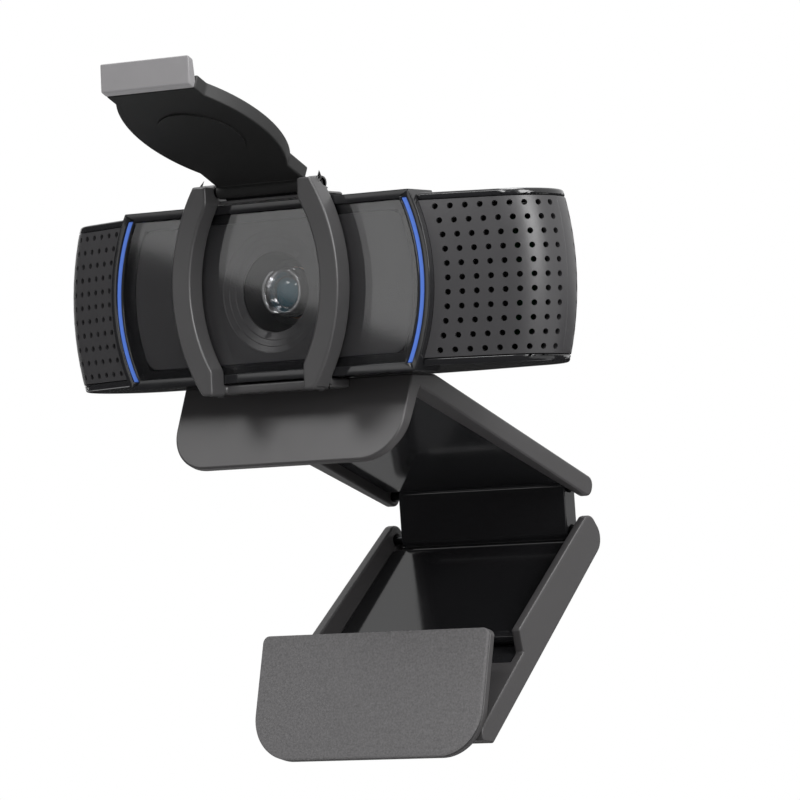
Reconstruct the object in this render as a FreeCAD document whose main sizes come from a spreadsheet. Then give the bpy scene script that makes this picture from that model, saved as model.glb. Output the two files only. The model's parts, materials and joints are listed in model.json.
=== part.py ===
import FreeCAD, Part
import math
import os
import re
import Sketcher
from FreeCAD import Placement, Rotation, Vector

# Webcam with a perforated disc-section head, a flip-up privacy shutter and a
# folding display clip.  X is the width, Y points away from the front, Z is up.
# The origin is where the optical axis crosses the front face of the window.

doc = FreeCAD.newDocument("webcam")
sheet = doc.addObject("Spreadsheet::Sheet", "Dims")

driving = {
    # head
    "head_width": 94.1, "wing_height": 26.6, "head_depth": 23.8, "back_flat_radius": 27.0,
    "wing_slope": 23.0, "wing_start": 0.9, "end_radius": 8.7, "wall": 1.2, "cover_thick": 1.2,
    "fit_gap": 0.05, "over": 2.0,
    # perforation
    "hole_radius": 0.47, "hole_pitch": 2.25, "row_pitch": 2.21, "row_total": 11, "hole_start": 2.15,
    "front_columns": 9, "rear_column_at": 4.0, "cloth_thick": 0.3,
    # centre bezel and window
    "pod_radius": 30.9, "pod_height": 27.9, "bezel_depth": 6.0, "bezel_proud": 0.3, "bezel_wall": 1.0,
    "bezel_face": 1.9, "window_radius": 28.5, "window_height": 25.0, "window_thick": 0.9,
    "strip_inner": 29.0, "strip_outer": 29.8, "strip_height": 25.4, "strip_proud": 0.1, "strip_back": 3.0,
    "light_board_inner": 27.6, "light_board_thick": 0.7,
    "panel_radius": 26.9, "panel_height": 22.0, "panel_thick": 1.2, "panel_corner": 2.6,
    "ring_outer": 9.6, "ring_step": 1.0, "ring_drop": 0.28, "ring_bore": 6.4,
    # lens
    "hood_outer": 7.4, "hood_mouth": 6.3, "hood_throat": 5.2, "hood_length": 4.2, "hood_wall": 0.5,
    "barrel_radius": 3.9, "barrel_flat": 3.35, "barrel_front": 3.3, "barrel_length": 7.0,
    "barrel_mouth": 3.3, "barrel_throat": 2.5, "cone_depth": 1.7, "barrel_bore": 2.3,
    "lens_dome": 0.7, "lens_edge": 1.4, "rear_lens_radius": 2.0, "rear_lens_thick": 1.2,
    "coil_radius": 4.6, "coil_length": 2.4, "focus_gap": 0.25, "holder_size": 11.0, "holder_wall": 0.9,
    "holder_front": 6.8, "holder_length": 5.6, "filter_thick": 0.3, "chip_size": 6.0, "chip_thick": 0.6,
    "chip_gap": 0.3, "coil_gap": 0.6, "rear_lens_ledge": 0.6,
    # boards
    "sensor_board_width": 24.0, "board_height": 19.0, "board_thick": 0.9, "main_board_front": 16.0,
    "main_board_width": 80.0, "processor_size": 10.0, "processor_thick": 1.0,
    "spreader_width": 30.0, "spreader_height": 15.0, "spreader_thick": 0.6,
    "frame_front": 4.0, "frame_thick": 1.0, "post_x": 24.0, "post_z": 7.0, "post_radius": 1.7,
    "spacer_x": 10.0, "spacer_z": 7.5, "spacer_radius": 1.1,
    "screw_radius": 0.9, "screw_head_radius": 1.9, "screw_head_thick": 1.0, "screw_reach": 3.0,
    "mic_x": 36.0, "mic_radius": 2.0, "mic_length": 1.5, "mic_front": 8.8,
    "boot_wall": 0.8, "boot_lip": 0.4,
    "inlet_z": 5.5, "inlet_radius": 3.2, "inlet_bore": 1.9, "inlet_flange": 4.0, "inlet_length": 3.6,
    "inlet_stand": 1.4,
    # head tilt hinge
    "tilt_y": 10.9, "tilt_z": -15.4, "tilt_barrel": 1.25, "tilt_pin": 0.55, "pin_play": 0.03,
    "neck_half": 7.5, "neck_web": 0.8, "neck_plate_half": 10.0, "neck_plate_front": 7.4,
    "neck_plate_back": 15.4, "neck_plate_thick": 1.0, "tilt_pin_half": 11.5, "washer_thick": 0.4,
    "neck_screw_radius": 0.7, "neck_screw_x": 8.6, "neck_screw_y": 14.2, "neck_screw_head": 1.3,
    # clip, in a frame at the tilt axis that leans back with the tray
    "tray_slope": 19.0, "tray_top": 2.0, "tray_depth": 3.3, "tray_skin": 1.3, "tray_end": 50.8,
    "tray_front_half": 22.1, "tray_rear_half": 19.9, "channel_half": 18.3, "channel_front": 2.4,
    "head_relief": 0.65, "lip_front": 4.3, "lip_lean": 0.9, "lip_thick": 2.4, "lip_edge": 1.5,
    "lip_bottom": 14.0, "lip_corner": 7.0, "rear_round": 1.5, "slot_front": 2.0, "slot_back": 1.9,
    "liner_thick": 0.4, "liner_end_gap": 0.4, "pad_drop": 0.6, "pad_thick": 0.5, "pad_half": 17.0, "pad_height": 6.0,
    "upper_pin_y": 49.1, "upper_pin_z": 0.3, "link_length": 7.2, "link_lean": 3.2, "link_half": 16.4,
    "link_radius": 1.6, "link_pin": 0.8, "link_clear": 0.3, "pin_end_gap": 0.4,
    # leg, in a frame at the lower link pin with Y up the leg
    "leg_slope": 42.0, "leg_half": 20.0, "leg_end_half": 21.2, "leg_rise": 1.0,
    "leg_top_round": 1.9, "leg_heel_round": 3.0, "leg_wall": 1.7, "leg_top": 2.1, "leg_face": 2.3,
    "leg_back": 3.9, "leg_step_y": 28.9, "leg_boss": 27.1, "leg_nose": 1.8, "leg_floor": 0.9,
    "latch_radius": 1.0, "latch_rise": 0.9, "latch_half": 20.2, "insert_wall": 1.5,
    "thread_y": 37.0, "thread_radius": 3.175, "insert_radius": 4.6, "insert_length": 3.4,
    # foot
    "foot_y": 45.6, "foot_z": 1.8, "foot_lean": 13.2, "foot_half": 22.0, "foot_face": 4.04,
    "foot_plate": 1.3, "foot_pad_thick": 0.7, "foot_low": 4.2, "foot_high": 16.2, "foot_corner": 7.5,
    "foot_top_corner": 1.2, "lug_in": 13.0, "lug_out": 16.0, "lug_radius": 1.5, "foot_pin": 0.6,
    "lug_gap": 0.2, "foot_pin_half": 18.4,
    # shutter
    "arm_front": 3.9, "arm_back": 0.35, "arm_outer_radius": 29.4, "arm_outer_x": 16.1,
    "arm_inner_radius": 24.6, "arm_inner_x": 12.5, "arm_centre_z": 0.9, "arm_inset": 8.85,
    "arm_top": 16.9, "arm_bottom": 15.9, "hook_reach": 4.8, "hook_gap": 0.2, "hook_thick": 0.75,
    "foot_hook_thick": 1.5, "hook_side": 11.6, "top_bar_thick": 0.45, "low_bar_set": 0.4,
    "flap_y": -0.5, "flap_z": 16.1, "flap_angle": 25.0, "flap_barrel": 1.15, "flap_pin": 0.5,
    "flap_side_gap": 0.35, "flap_widest": 11.9, "flap_mid": 17.0, "flap_side_radius": 21.0, "flap_inner": 0.3, "flap_skin": 1.1, "flap_rim": 1.2, "rim_wide": 0.9,
    "flap_length": 31.0, "flap_root": 0.6, "grip_thick": 1.4, "grip_height": 4.3, "grip_lean": 1.9,
    "flap_liner_radius": 7.0, "flap_liner_thick": 0.25,
}

derived = {
    "end_x": "=head_width / 2 - end_radius",
    "tangent_x": "=end_x + end_radius * sin(wing_slope)",
    "tangent_y": "=wing_start + (tangent_x - pod_radius) * tan(wing_slope)",
    "end_y": "=tangent_y + end_radius * cos(wing_slope)",
    "inner_tangent_x": "=end_x + (end_radius - wall) * sin(wing_slope)",
    "inner_tangent_y": "=end_y - (end_radius - wall) * cos(wing_slope)",
    "grille_edge_x": "=pod_radius + fit_gap",
    "grille_edge_y": "=wing_start + fit_gap * tan(wing_slope)",
    "grille_edge_in": "=grille_edge_y + wall / cos(wing_slope)",
    "cloth_edge_y": "=grille_edge_in + fit_gap / cos(wing_slope)",
    "cloth_back_y": "=cloth_edge_y + cloth_thick / cos(wing_slope)",
    "slab_half": "=wing_height / 2 - cover_thick",
    "lens_curve": "=(barrel_bore ^ 2 + lens_dome ^ 2) / (2 * lens_dome)",
    "pin_half": "=tray_rear_half - 0.3",
    "upper_pin_world_y": "=tilt_y + upper_pin_y * cos(tray_slope) + upper_pin_z * sin(tray_slope)",
    "upper_pin_world_z": "=tilt_z - upper_pin_y * sin(tray_slope) + upper_pin_z * cos(tray_slope)",
    "lower_pin_world_y": "=upper_pin_world_y + link_length * sin(link_lean)",
    "lower_pin_world_z": "=upper_pin_world_z - link_length * cos(link_lean)",
    "foot_world_y": "=lower_pin_world_y - foot_y * cos(leg_slope) + foot_z * sin(leg_slope)",
    "foot_world_z": "=lower_pin_world_z - foot_y * sin(leg_slope) - foot_z * cos(leg_slope)",
    "leg_shelf_half": "=leg_half + (leg_end_half - leg_half) * (leg_top + thread_y - insert_radius - insert_wall)"
                      " / (leg_top + foot_y + leg_nose)",
    "leg_turn": "=leg_slope",
    "tray_turn": "=360 - tray_slope",
    "foot_turn": "=360 - foot_lean",
    "flap_turn": "=180 - flap_angle",
    "link_turn": "=link_lean",
    "arm_outer_centre": "=arm_outer_x - arm_outer_radius",
    "arm_inner_centre": "=arm_inner_x - arm_inner_radius",
    "flap_side_centre": "=flap_widest - flap_side_radius",
    "flap_half": "=arm_inset - flap_side_gap",
    "flap_bow": "=sqrt(flap_side_radius ^ 2 - (flap_half - flap_side_centre) ^ 2)",
    "rim_radius": "=flap_side_radius - rim_wide",
    "rim_half": "=flap_half - rim_wide",
    "rim_bow": "=sqrt(rim_radius ^ 2 - (rim_half - flap_side_centre) ^ 2)",
}

for row, (alias, value) in enumerate(list(driving.items()) + list(derived.items()), start=1):
    sheet.set("A%d" % row, alias)
    sheet.set("B%d" % row, str(value))
    sheet.setAlias("B%d" % row, alias)
doc.recompute()

nodes = {}


def size(alias):
    return float(sheet.get(alias))


def number(text):
    """The value of a sum of named sizes, such as "wall + 2 * fit_gap"."""
    total = 0.0
    sign = 1.0
    factor = 1.0
    tokens = re.findall(r"[a-z_]+|[0-9.]+|[-+*/]", text)
    pending = "*"
    empty = True
    for token in tokens:
        if token in "+-" and len(token) == 1:
            if not empty:
                total += sign * factor
            sign = 1.0 if token == "+" else -1.0
            factor = 1.0
            pending = "*"
            empty = True
        elif token in "*/":
            pending = token
        else:
            amount = size(token) if token[0].isalpha() else float(token)
            factor = factor * amount if pending == "*" else factor / amount
            empty = False
    return total + sign * factor


def minus(text):
    """The same sum of named sizes with its sign turned."""
    swapped = {" + ": " - ", " - ": " + "}
    return "0 - " + re.sub(r" [-+] ", lambda found: swapped[found.group(0)], text)


def formula(text):
    return re.sub(r"[a-z_]{2,}", lambda found: "Dims." + found.group(0), text)


def bind(item, prop, text):
    item.setExpression(prop, formula(text))


def place(item, at=("0", "0", "0"), axis=None, turn="0"):
    """Put an item at three named coordinates, turned about an axis."""
    spin = Rotation(Vector(*axis), number(turn)) if axis else Rotation()
    item.Placement = Placement(Vector(*[number(text) for text in at]), spin)
    for letter, text in zip("xyz", at):
        bind(item, "Placement.Base." + letter, text)
    if axis and turn not in ("0", "90"):
        bind(item, "Placement.Rotation.Angle", turn)
    return item


def box(label, x, y, z):
    """A box between pairs of named coordinates."""
    item = doc.addObject("Part::Box", label)
    for prop, (low, high) in zip(("Length", "Width", "Height"), (x, y, z)):
        bind(item, prop, "(%s) - (%s)" % (high, low))
        setattr(item, prop, number(high) - number(low))
    return place(item, (x[0], y[0], z[0]))


def rod(label, axis, radius, start, end, across=("0", "0")):
    """A cylinder along X, Y or Z from start to end."""
    item = doc.addObject("Part::Cylinder", label)
    bind(item, "Radius", radius)
    bind(item, "Height", "(%s) - (%s)" % (end, start))
    if axis == "X":
        return place(item, (start, across[0], across[1]), (0, 1, 0), "90")
    if axis == "Y":
        item = place(item, (across[0], end, across[1]), (1, 0, 0), "90")
        return item
    return place(item, (across[0], across[1], start))


def cut(label, base, tool):
    item = doc.addObject("Part::Cut", label)
    item.Base = base
    item.Tool = tool
    return item


def fuse(label, shapes):
    item = doc.addObject("Part::MultiFuse", label)
    item.Shapes = shapes
    return item


def common(label, first, second):
    item = doc.addObject("Part::MultiCommon", label)
    item.Shapes = [first, second]
    return item


def node(name, item):
    item.Label = name
    nodes[name] = item
    return item


def barrel_slab(label, radius, half, front, back):
    """A disc about the optical axis with flat top and bottom."""
    disc = rod(label + "_disc", "Y", radius, front, back)
    slab = box(label + "_slab", (minus(radius), radius), (front, back), (minus(half), half))
    return common(label, disc, slab)


def body(label):
    return doc.addObject("PartDesign::Body", label)


def sketch(owner, role, name, lift="0"):
    item = owner.newObject("Sketcher::SketchObject", name)
    base = next(f for f in owner.Origin.OriginFeatures if f.Role == role)
    item.AttachmentSupport = (base, [""])
    item.MapMode = "FlatFace"
    if lift != "0":
        item.AttachmentOffset = Placement(Vector(0, 0, number(lift)), Rotation())
        bind(item, "AttachmentOffset.Base.z", lift)
    return item


def fix(item, index, end, prefix, point):
    """Hold one end of an edge at two named coordinates from the origin."""
    for kind, letter, text in (("DistanceX", "u", point[0]), ("DistanceY", "v", point[1])):
        made = item.addConstraint(Sketcher.Constraint(kind, -1, 1, index, end, number(text)))
        item.renameConstraint(made, prefix + letter)
        item.setExpression("Constraints." + prefix + letter, formula(text))


def outline(item, corners, prefix="p"):
    """A closed outline.  A corner is (u, v) or (u, v, radius, side) when the side
    that leaves it is an arc, with its centre to the left (1) or the right (-1)."""
    first = None
    last = None
    for k, corner in enumerate(corners):
        following = corners[(k + 1) % len(corners)]
        a = Vector(number(corner[0]), number(corner[1]), 0)
        b = Vector(number(following[0]), number(following[1]), 0)
        if len(corner) == 2:
            index = item.addGeometry(Part.LineSegment(a, b))
            start, finish = 1, 2
        else:
            radius = number(corner[2])
            chord = b - a
            height = math.sqrt(max(radius ** 2 - chord.Length ** 2 / 4, 0))
            left = Vector(-chord.y, chord.x, 0).normalize()
            centre = (a + b) / 2 + left * height * corner[3]
            edge_a = math.atan2(a.y - centre.y, a.x - centre.x)
            edge_b = math.atan2(b.y - centre.y, b.x - centre.x)
            circle = Part.Circle(centre, Vector(0, 0, 1), radius)
            start, finish = (1, 2) if corner[3] > 0 else (2, 1)
            low, high = (edge_a, edge_b) if corner[3] > 0 else (edge_b, edge_a)
            index = item.addGeometry(Part.ArcOfCircle(circle, low, high))
            if chord.Length > 1.999 * radius:
                item.addConstraint(Sketcher.Constraint("Symmetric", index, 1, index, 2, index, 3))
            else:
                made = item.addConstraint(Sketcher.Constraint("Radius", index, radius))
                item.renameConstraint(made, "%s%dr" % (prefix, k))
                item.setExpression("Constraints.%s%dr" % (prefix, k), formula(corner[2]))
        fix(item, index, start, "%s%d" % (prefix, k), corner)
        if last is not None:
            item.addConstraint(Sketcher.Constraint("Coincident", last[0], last[1], index, start))
        else:
            first = (index, start)
        last = (index, finish)
    item.addConstraint(Sketcher.Constraint("Coincident", last[0], last[1], first[0], first[1]))


def circle(item, radius, at, prefix="c"):
    centre = Vector(number(at[0]), number(at[1]), 0)
    index = item.addGeometry(Part.Circle(centre, Vector(0, 0, 1), number(radius)))
    made = item.addConstraint(Sketcher.Constraint("Radius", index, number(radius)))
    item.renameConstraint(made, prefix + "r")
    item.setExpression("Constraints." + prefix + "r", formula(radius))
    fix(item, index, 3, prefix, at)


def pad(owner, profile, length, kind="PartDesign::Pad", both=True, reverse=False):
    """Pad or pocket a sketch, to both sides of its plane or to one."""
    item = owner.newObject(kind, profile.Name + "_solid")
    item.Profile = profile
    item.SideType = "Symmetric" if both else "One side"
    item.Reversed = reverse
    bind(item, "Length", length)
    doc.recompute()
    return item


def pocket(owner, profile, length, both=True, reverse=False):
    before = owner.Shape.Volume
    item = pad(owner, profile, length, "PartDesign::Pocket", both, reverse)
    if owner.Shape.Volume >= before:
        raise RuntimeError(profile.Name + " cuts nothing")
    return item


def revolve(owner, profile, angle=360.0):
    """Revolve a profile drawn as radius and depth about the optical axis."""
    item = owner.newObject("PartDesign::Revolution", profile.Name + "_solid")
    item.Profile = profile
    item.ReferenceAxis = (profile, ["V_Axis"])
    item.Angle = angle
    item.Midplane = angle < 360.0
    doc.recompute()
    return item


def turned(label, corners, angle=360.0):
    item = body(label)
    shape = sketch(item, "XY_Plane", label + "_section")
    outline(shape, corners)
    revolve(item, shape, angle)
    return item


def round_edges(owner, radius, test, label):
    """Fillet the edges of a body whose bounding box passes a test."""
    picked = ["Edge%d" % (k + 1) for k, edge in enumerate(owner.Shape.Edges) if test(edge)]
    if not picked:
        raise RuntimeError(label + " finds no edge")
    base = owner.Tip
    item = owner.newObject("PartDesign::Fillet", label)
    item.Base = (base, picked)
    bind(item, "Radius", radius)
    doc.recompute()
    return item


def along(edge, axis):
    """True when a straight edge runs along an axis."""
    if edge.Curve.TypeId != "Part::GeomLine":
        return False
    return abs(edge.Curve.Direction.dot(axis)) > 0.999


X_AXIS = Vector(1, 0, 0)
Y_AXIS = Vector(0, 1, 0)
Z_AXIS = Vector(0, 0, 1)
FAR = "60"

# --- clip: hook shell (lip and tray) ----------------------------------------

CLIP_AT = ("0", "tilt_y", "tilt_z")


def on_clip(item):
    return place(item, CLIP_AT, (1, 0, 0), "tray_turn")


tray_low = "tray_top - tray_depth"
hook = body("hook_body")
hook_side = sketch(hook, "YZ_Plane", "hook_side")
outline(hook_side, [
    ("0 - lip_front", "tray_top"),
    ("0 - lip_front - lip_lean", "0 - lip_bottom"),
    ("lip_edge - lip_front - lip_lean", "0 - lip_bottom"),
    ("lip_thick - lip_front", tray_low),
    ("tray_end", tray_low),
    ("tray_end", "tray_top"),
])
pad(hook, hook_side, "2*tray_front_half")

hook_plan = sketch(hook, "XY_Plane", "hook_plan")
for prefix, side in (("r", ""), ("l", "0 - ")):
    outline(hook_plan, [
        (side + "tray_front_half", "lip_thick"),
        (side + "tray_rear_half", "tray_end"),
        (side + "tray_rear_half", "tray_end + 5"),
        (side + "tray_front_half" + (" + 5" if side == "" else " - 5"), "tray_end + 5"),
        (side + "tray_front_half" + (" + 5" if side == "" else " - 5"), "lip_thick"),
    ], prefix)
pocket(hook, hook_plan, "40")
lip_low = -size("lip_bottom")
round_edges(hook, "lip_corner", lambda e: e.Length < 3 and abs(e.CenterOfMass.z - lip_low) < 0.3
            and abs(abs(e.CenterOfMass.x) - size("tray_front_half")) < 0.1, "lip_corners")
round_edges(hook, "rear_round", lambda e: along(e, X_AXIS)
            and abs(e.CenterOfMass.y - size("tray_end")) < 0.1, "tray_rear_round")

channel = sketch(hook, "YZ_Plane", "tray_channel")
outline(channel, [
    ("channel_front", "tray_top - tray_skin"),
    ("channel_front", tray_low + " - 1"),
    ("tray_end + 2", tray_low + " - 1"),
    ("tray_end + 2", "tray_top - tray_skin"),
])
pocket(hook, channel, "2*channel_half")

link_room = sketch(hook, "YZ_Plane", "tray_link_room")
outline(link_room, [
    ("upper_pin_y - link_radius - link_clear", "tray_top + 1"),
    ("upper_pin_y - link_radius - link_clear", "0 - 3"),
    ("tray_end + 2", "0 - 3"),
    ("tray_end + 2", "tray_top + 1"),
])
pocket(hook, link_room, "2*link_half + 2*link_clear")

slot = sketch(hook, "YZ_Plane", "tilt_slot")
outline(slot, [
    ("0 - slot_front", "tray_top + 1"),
    ("0 - slot_front", tray_low + " - 1"),
    ("slot_back", tray_low + " - 1"),
    ("slot_back", "tray_top + 1"),
])
pocket(hook, slot, "2*neck_half + 2*washer_thick + 4*fit_gap")

tilt_bore = sketch(hook, "YZ_Plane", "tilt_bore")
circle(tilt_bore, "tilt_pin + fit_gap/2", ("0", "0"))
pocket(hook, tilt_bore, "2*tilt_pin_half + 2*fit_gap")

link_bore = sketch(hook, "YZ_Plane", "tray_pin_bore")
circle(link_bore, "link_pin + fit_gap/2", ("upper_pin_y", "upper_pin_z"))
pocket(hook, link_bore, "2*pin_half")

on_clip(hook)
relief = box("head_relief_box", ("0 - " + FAR, FAR), ("0 - 10", "tilt_y + 30"),
             ("0 - wing_height/2 - head_relief", "0"))
node("hook_shell", cut("hook_shell_solid", hook, relief))


def clip_box(label, x, y, z):
    """A box given in the clip's leaning frame."""
    item = body(label)
    shape = sketch(item, "YZ_Plane", label + "_side")
    outline(shape, [(y[0], z[0]), (y[1], z[0]), (y[1], z[1]), (y[0], z[1])])
    pad(item, shape, "2*" + x)
    return on_clip(item)


node("tray_liner", clip_box("tray_liner_solid", "channel_half - 2*fit_gap",
                            ("channel_front + fit_gap", "upper_pin_y - link_radius - link_clear - liner_end_gap"),
                            ("tray_top - tray_skin - liner_thick - fit_gap", "tray_top - tray_skin - fit_gap")))

lip_pad = body("lip_pad_solid")
lip_pad_side = sketch(lip_pad, "YZ_Plane", "lip_pad_side")
outline(lip_pad_side, [
    ("lip_thick - lip_front + fit_gap", tray_low + " - pad_drop"),
    ("lip_thick - lip_front + fit_gap + pad_thick", tray_low + " - pad_drop"),
    ("lip_thick - lip_front + fit_gap + pad_thick", tray_low + " - pad_drop - pad_height"),
    ("lip_thick - lip_front + fit_gap - 0.8*lip_lean", tray_low + " - pad_drop - pad_height"),
])
pad(lip_pad, lip_pad_side, "2*pad_half")
node("lip_pad", on_clip(lip_pad))

# --- clip: link and its pins -------------------------------------------------

link = body("link_body")
link_side = sketch(link, "YZ_Plane", "link_side")
outline(link_side, [
    ("link_radius", "0", "link_radius", 1),
    ("0 - link_radius", "0"),
    ("0 - link_radius", "0 - link_length", "link_radius", 1),
    ("link_radius", "0 - link_length"),
])
pad(link, link_side, "2*link_half")
link_holes = sketch(link, "YZ_Plane", "link_holes")
circle(link_holes, "link_pin + pin_play", ("0", "0"), "a")
circle(link_holes, "link_pin + pin_play", ("0", "0 - link_length"), "b")
pocket(link, link_holes, "2*link_half + 4")
place(link, ("0", "upper_pin_world_y", "upper_pin_world_z"), (1, 0, 0), "link_turn")
node("link", link)

node("link_pin_upper", rod("link_pin_upper_solid", "X", "link_pin", "0 - pin_half + pin_end_gap", "pin_half - pin_end_gap",
                           ("upper_pin_world_y", "upper_pin_world_z")))
node("link_pin_lower", rod("link_pin_lower_solid", "X", "link_pin", "0 - pin_half + pin_end_gap", "pin_half - pin_end_gap",
                           ("lower_pin_world_y", "lower_pin_world_z")))

# --- clip: leg ---------------------------------------------------------------

LEG_AT = ("0", "lower_pin_world_y", "lower_pin_world_z")


def on_leg(item):
    return place(item, LEG_AT, (1, 0, 0), "leg_turn")


leg = body("leg_body")
leg_side = sketch(leg, "YZ_Plane", "leg_side")
outline(leg_side, [
    ("leg_top", "leg_face"),
    ("0 - leg_boss", "leg_face + leg_rise"),
    ("0 - leg_step_y", "leg_nose - foot_z"),
    ("0 - foot_y", "leg_nose - foot_z", "leg_nose", 1),
    ("0 - foot_y - leg_nose", "0 - foot_z"),
    ("0 - foot_y", "0 - leg_back"),
    ("leg_top", "0 - leg_back"),
])
pad(leg, leg_side, "2*leg_end_half")
leg_end = "0 - foot_y - leg_nose"
leg_plan = sketch(leg, "XY_Plane", "leg_plan")
for prefix, side, out in (("r", "", " + "), ("l", "0 - ", " - ")):
    outline(leg_plan, [
        (side + "leg_half", "leg_top"),
        (side + "leg_end_half", leg_end),
        (side + "leg_end_half" + out + "over", leg_end),
        (side + "leg_end_half" + out + "over", "leg_top + over"),
        (side + "leg_half", "leg_top + over"),
    ], prefix)
pocket(leg, leg_plan, "4*leg_end_half")
leg_top_y = size("leg_top")
round_edges(leg, "leg_top_round", lambda e: along(e, X_AXIS) and abs(e.CenterOfMass.y - leg_top_y) < 0.1
            and e.CenterOfMass.z > 0, "leg_top_round")
round_edges(leg, "leg_heel_round", lambda e: along(e, X_AXIS) and abs(e.CenterOfMass.y - leg_top_y) < 0.1
            and e.CenterOfMass.z < -3, "leg_heel_round")


leg_shelf = "insert_radius + insert_wall - thread_y"
leg_trough = sketch(leg, "XY_Plane", "leg_trough", "0 - leg_floor")
outline(leg_trough, [
    ("leg_wall - leg_half", "leg_top"),
    ("leg_wall - leg_shelf_half", leg_shelf),
    ("leg_shelf_half - leg_wall", leg_shelf),
    ("leg_half - leg_wall", "leg_top"),
])
pocket(leg, leg_trough, "leg_face + leg_rise + leg_floor + over", both=False, reverse=True)

leg_link_room = sketch(leg, "YZ_Plane", "leg_link_room")
outline(leg_link_room, [
    ("0 - link_radius - link_clear", "leg_face + 1"),
    ("0 - link_radius - link_clear", "0 - leg_back - 1"),
    ("leg_top + 2", "0 - leg_back - 1"),
    ("leg_top + 2", "leg_face + 1"),
])
pocket(leg, leg_link_room, "2*link_half + 2*link_clear")

leg_bore = sketch(leg, "YZ_Plane", "leg_pin_bore")
circle(leg_bore, "link_pin + fit_gap/2", ("0", "0"))
pocket(leg, leg_bore, "2*pin_half")

latch_bore = sketch(leg, "YZ_Plane", "latch_bore")
circle(latch_bore, "latch_radius + fit_gap/2", ("0 - leg_boss + latch_radius", "latch_rise"))
pocket(leg, latch_bore, "2*latch_half")

foot_bore = sketch(leg, "YZ_Plane", "leg_foot_bore")
circle(foot_bore, "foot_pin + fit_gap/2", ("0 - foot_y", "0 - foot_z"))
pocket(leg, foot_bore, "2*foot_pin_half + 2*fit_gap")

insert_room = sketch(leg, "XY_Plane", "insert_room", "0 - leg_back")
circle(insert_room, "insert_radius + fit_gap/2", ("0", "0 - thread_y"))
pocket(leg, insert_room, "insert_length + fit_gap", both=False, reverse=True)

lug_rooms = sketch(leg, "XY_Plane", "lug_rooms")
for prefix, side in (("r", ""), ("l", "0 - ")):
    grow = " + " if side == "" else " - "
    shrink = " - " if side == "" else " + "
    outline(lug_rooms, [
        (side + "lug_in" + shrink + "lug_gap", "0 - foot_y + lug_radius + lug_gap"),
        (side + "lug_out" + grow + "lug_gap", "0 - foot_y + lug_radius + lug_gap"),
        (side + "lug_out" + grow + "lug_gap", "0 - foot_y - 5"),
        (side + "lug_in" + shrink + "lug_gap", "0 - foot_y - 5"),
    ], prefix)
pocket(leg, lug_rooms, "30")

node("leg_shell", on_leg(leg))

insert = body("insert_body")
insert_ring = sketch(insert, "XY_Plane", "insert_ring", "0 - leg_back")
circle(insert_ring, "insert_radius", ("0", "0 - thread_y"), "a")
circle(insert_ring, "thread_radius", ("0", "0 - thread_y"), "b")
pad(insert, insert_ring, "insert_length", both=False)
node("thread_insert", on_leg(insert))

leg_liner = body("leg_liner_solid")
liner_top = "0 - link_radius - link_clear - liner_end_gap"
liner_plan = sketch(leg_liner, "XY_Plane", "leg_liner_plan", "fit_gap - leg_floor")
outline(liner_plan, [
    ("0 - leg_half + leg_wall + 2*fit_gap", liner_top),
    ("0 - leg_shelf_half + leg_wall + 2*fit_gap", leg_shelf + " + fit_gap"),
    ("leg_shelf_half - leg_wall - 2*fit_gap", leg_shelf + " + fit_gap"),
    ("leg_half - leg_wall - 2*fit_gap", liner_top),
])
pad(leg_liner, liner_plan, "liner_thick", both=False)
node("leg_liner", on_leg(leg_liner))

latch = body("latch_body")
latch_end = sketch(latch, "YZ_Plane", "latch_end")
circle(latch_end, "latch_radius", ("0 - leg_boss + latch_radius", "latch_rise"))
pad(latch, latch_end, "2*latch_half - 2*fit_gap")
node("latch_bar", on_leg(latch))

# --- clip: foot --------------------------------------------------------------

FOOT_AT = ("0", "foot_world_y", "foot_world_z")


def on_foot(item):
    return place(item, FOOT_AT, (1, 0, 0), "foot_turn")


def foot_slab(label, front, back):
    """A flat plate in the foot's frame."""
    item = body(label)
    side = sketch(item, "YZ_Plane", label + "_side")
    outline(side, [(back, "0 - foot_low"), (front, "0 - foot_low"), (front, "foot_high"), (back, "foot_high")])
    pad(item, side, "2*foot_half")
    return item


def foot_corners(item):
    """Large lower corners and small upper ones."""
    for radius, level in (("foot_corner", -size("foot_low")), ("foot_top_corner", size("foot_high"))):
        round_edges(item, radius, lambda e: along(e, Y_AXIS) and abs(e.CenterOfMass.z - level) < 0.1,
                    item.Name + "_" + radius)
    return item


plate_front = "foot_pad_thick + fit_gap - foot_face"
plate_back = plate_front + " + foot_plate"
foot = foot_slab("foot_body", plate_front, plate_back)
lug_side = sketch(foot, "YZ_Plane", "lug_side")
outline(lug_side, [
    ("0", "0 - lug_radius", "lug_radius", 1),
    ("0", "lug_radius"),
    (plate_back + " - fit_gap", "lug_radius"),
    (plate_back + " - fit_gap", "0 - lug_radius"),
])
pad(foot, lug_side, "2*lug_out")
foot_bore_cut = sketch(foot, "YZ_Plane", "foot_bore")
circle(foot_bore_cut, "foot_pin + pin_play", ("0", "0"))
pocket(foot, foot_bore_cut, "2*lug_out + 4")
lug_split = sketch(foot, "YZ_Plane", "lug_split")
outline(lug_split, [(plate_back, "0 - 4"), ("4", "0 - 4"), ("4", "4"), (plate_back, "4")])
pocket(foot, lug_split, "2*lug_in")
foot_corners(foot)
node("foot_plate", on_foot(foot))
foot_skin = foot_corners(foot_slab("foot_skin", "0 - foot_face", "foot_pad_thick - foot_face"))
node("foot_pad", on_foot(foot_skin))
node("foot_pin", rod("foot_pin_solid", "X", "foot_pin", "0 - foot_pin_half", "foot_pin_half",
                     ("foot_world_y", "foot_world_z")))

# --- shutter frame and flap --------------------------------------------------


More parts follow.
